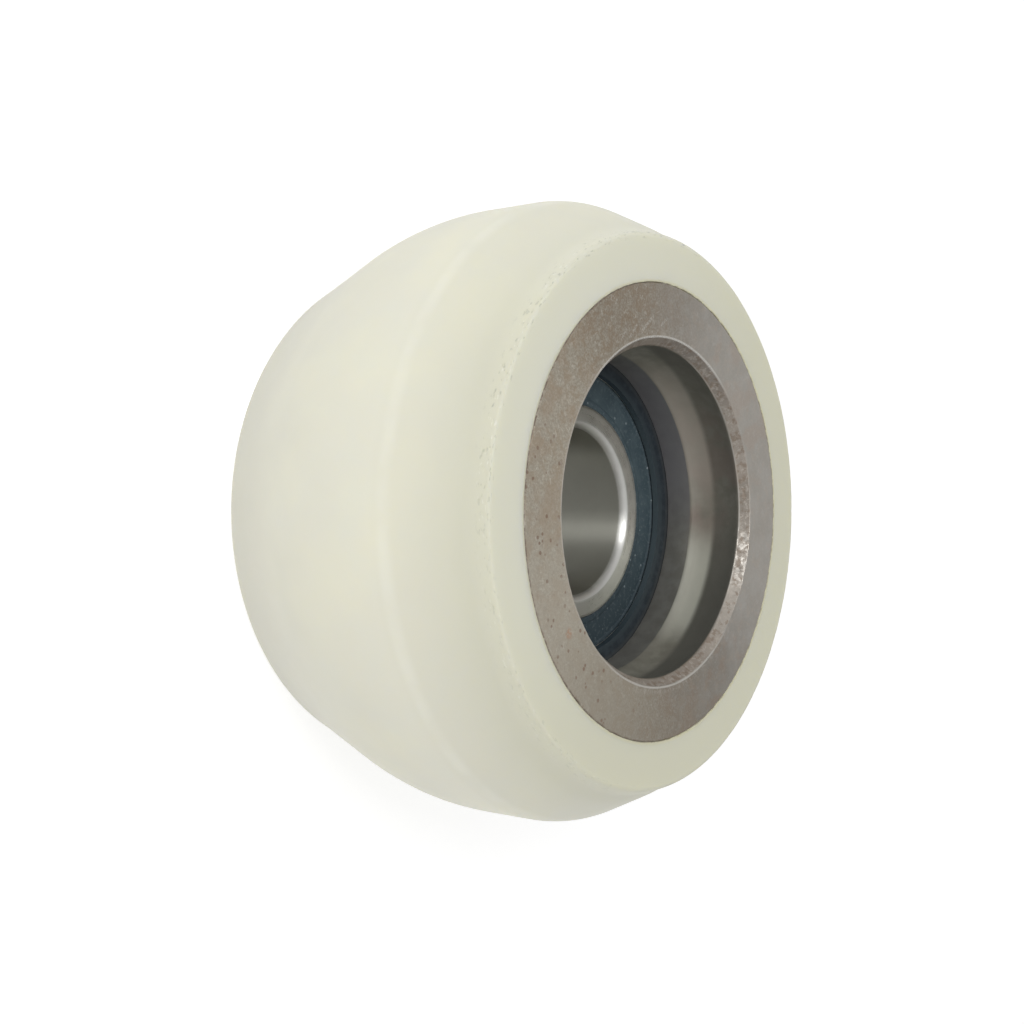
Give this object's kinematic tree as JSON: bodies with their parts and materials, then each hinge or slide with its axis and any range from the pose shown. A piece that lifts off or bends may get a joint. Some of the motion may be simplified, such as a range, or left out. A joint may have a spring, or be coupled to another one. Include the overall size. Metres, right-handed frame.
{
  "type": "crowned guide roller with ball bearing",
  "caption": "Crowned polyurethane guide roller on a thick steel hub, with a sealed ball bearing held in its bore by a retaining ring; it turns on an axle.",
  "frame": {"origin": "centre of the far end face, which the roller stands on", "axes": "+Z along the axle line, from the far end to the near end, where the bearing is fitted; the retaining ring's gap faces -X"},
  "size_m": [0.0906, 0.0906, 0.048],
  "materials": {
    "polyurethane": "satin, slightly translucent, cream",
    "hub_steel": "turned steel, dull, with light rust",
    "bearing_steel": "ground",
    "ball_steel": "polished",
    "cage_steel": "pressed sheet, satin",
    "ring_steel": "blackened spring steel",
    "seal_rubber": "matt blue-black"
  },
  "bodies": {
    "roller": {"tread": "polyurethane", "hub": "hub_steel", "retaining_ring": "ring_steel", "bearing_outer_ring": "bearing_steel", "seal_near": "seal_rubber", "seal_far": "seal_rubber"},
    "inner_ring": {"bearing_inner_ring": "bearing_steel"},
    "cage": {"cage_half_near": "cage_steel", "cage_half_far": "cage_steel", "cage_rivets": "cage_steel"},
    "ball_01": {"ball_01": "ball_steel"},
    "ball_02": {"ball_02": "ball_steel"},
    "ball_03": {"ball_03": "ball_steel"},
    "ball_04": {"ball_04": "ball_steel"},
    "ball_05": {"ball_05": "ball_steel"},
    "ball_06": {"ball_06": "ball_steel"},
    "ball_07": {"ball_07": "ball_steel"},
    "ball_08": {"ball_08": "ball_steel"},
    "ball_09": {"ball_09": "ball_steel"},
    "ball_10": {"ball_10": "ball_steel"}
  },
  "joints": [
    {"name": "inner_ring_spin", "type": "hinge", "parent": "roller", "child": "inner_ring", "pos_m": [0, 0, 0.02445], "axis": [0, 0, 1], "continuous": true},
    {"name": "cage_spin", "type": "hinge", "parent": "roller", "child": "cage", "pos_m": [0, 0, 0.02445], "axis": [0, 0, 1], "continuous": true},
    {"name": "ball_01_roll", "type": "hinge", "parent": "cage", "child": "ball_01", "pos_m": [0.018, 0, 0.02445], "axis": [0, 0, 1], "continuous": true},
    {"name": "ball_02_roll", "type": "hinge", "parent": "cage", "child": "ball_02", "pos_m": [0.01456, 0.01058, 0.02445], "axis": [0, 0, 1], "continuous": true},
    {"name": "ball_03_roll", "type": "hinge", "parent": "cage", "child": "ball_03", "pos_m": [0.00556, 0.01712, 0.02445], "axis": [0, 0, 1], "continuous": true},
    {"name": "ball_04_roll", "type": "hinge", "parent": "cage", "child": "ball_04", "pos_m": [-0.00556, 0.01712, 0.02445], "axis": [0, 0, 1], "continuous": true},
    {"name": "ball_05_roll", "type": "hinge", "parent": "cage", "child": "ball_05", "pos_m": [-0.01456, 0.01058, 0.02445], "axis": [0, 0, 1], "continuous": true},
    {"name": "ball_06_roll", "type": "hinge", "parent": "cage", "child": "ball_06", "pos_m": [-0.018, 0, 0.02445], "axis": [0, 0, 1], "continuous": true},
    {"name": "ball_07_roll", "type": "hinge", "parent": "cage", "child": "ball_07", "pos_m": [-0.01456, -0.01058, 0.02445], "axis": [0, 0, 1], "continuous": true},
    {"name": "ball_08_roll", "type": "hinge", "parent": "cage", "child": "ball_08", "pos_m": [-0.00556, -0.01712, 0.02445], "axis": [0, 0, 1], "continuous": true},
    {"name": "ball_09_roll", "type": "hinge", "parent": "cage", "child": "ball_09", "pos_m": [0.00556, -0.01712, 0.02445], "axis": [0, 0, 1], "continuous": true},
    {"name": "ball_10_roll", "type": "hinge", "parent": "cage", "child": "ball_10", "pos_m": [0.01456, -0.01058, 0.02445], "axis": [0, 0, 1], "continuous": true}
  ],
  "couplings": [
    {"joint": "cage_spin", "follows": "inner_ring_spin", "ratio": 0.41181},
    {"joint": "ball_01_roll", "follows": "inner_ring_spin", "ratio": -2.7465},
    {"joint": "ball_02_roll", "follows": "inner_ring_spin", "ratio": -2.7465},
    {"joint": "ball_03_roll", "follows": "inner_ring_spin", "ratio": -2.7465},
    {"joint": "ball_04_roll", "follows": "inner_ring_spin", "ratio": -2.7465},
    {"joint": "ball_05_roll", "follows": "inner_ring_spin", "ratio": -2.7465},
    {"joint": "ball_06_roll", "follows": "inner_ring_spin", "ratio": -2.7465},
    {"joint": "ball_07_roll", "follows": "inner_ring_spin", "ratio": -2.7465},
    {"joint": "ball_08_roll", "follows": "inner_ring_spin", "ratio": -2.7465},
    {"joint": "ball_09_roll", "follows": "inner_ring_spin", "ratio": -2.7465},
    {"joint": "ball_10_roll", "follows": "inner_ring_spin", "ratio": -2.7465}
  ]
}
